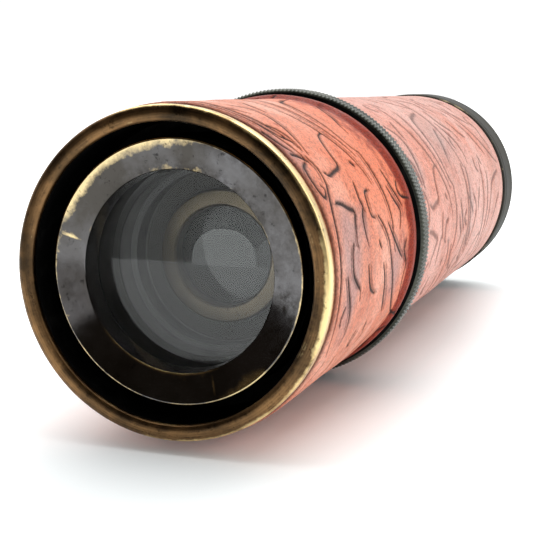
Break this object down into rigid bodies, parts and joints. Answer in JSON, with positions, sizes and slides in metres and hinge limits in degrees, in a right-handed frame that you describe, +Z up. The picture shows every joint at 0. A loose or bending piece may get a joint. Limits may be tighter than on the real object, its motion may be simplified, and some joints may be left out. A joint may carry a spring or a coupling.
{
  "type": "kaleidoscope",
  "caption": "Hand-held lens-ended kaleidoscope: leather-covered brass barrel with a turning front half, knurled grip ring, mirror prism and eyepiece, lying on its side.",
  "frame": {"origin": "on the surface the kaleidoscope lies on, under the middle of its length", "axes": "+Y along the barrel from the object glass to the eyepiece, +Z up, +X to the side"},
  "size_m": [0.0544, 0.1788, 0.0544],
  "materials": {
    "aged_brass": "aged",
    "knurled_brass": "dull, knurled",
    "blackened_brass": "matt black",
    "tooled_leather": "tooled and waxed",
    "clear_glass": "polished",
    "mirror_glass": "polished",
    "black_card": "matt",
    "packing_foam": "matt foam",
    "felt": "felt"
  },
  "bodies": {
    "rear_barrel": {"rear_tube": "aged_brass", "rear_leather": "tooled_leather", "end_cap": "aged_brass", "eye_collar": "aged_brass", "eye_glass": "clear_glass", "eye_retainer": "blackened_brass", "bearing_tube": "aged_brass", "mirror_tube": "blackened_brass", "mirror_1": "mirror_glass", "mirror_2": "mirror_glass", "mirror_3": "mirror_glass", "packing_1": "packing_foam", "packing_2": "packing_foam", "packing_3": "packing_foam", "front_mask": "blackened_brass", "rear_mask": "blackened_brass", "front_centring_ring": "black_card", "rear_centring_ring": "black_card"},
    "front_barrel": {"front_tube": "aged_brass", "front_leather": "tooled_leather", "knurled_ring": "knurled_brass", "carrier_ring": "blackened_brass", "cell_tube": "blackened_brass", "bezel_ring": "aged_brass", "object_glass": "clear_glass", "spacer_tube": "blackened_brass", "lens_seat": "blackened_brass", "inner_ring": "aged_brass", "inner_lens": "clear_glass", "felt_band": "felt"}
  },
  "joints": [
    {"name": "front_barrel_turn", "type": "hinge", "parent": "rear_barrel", "child": "front_barrel", "pos_m": [0, -0.0394, 0.0272], "axis": [0, 1, 0], "continuous": true}
  ]
}
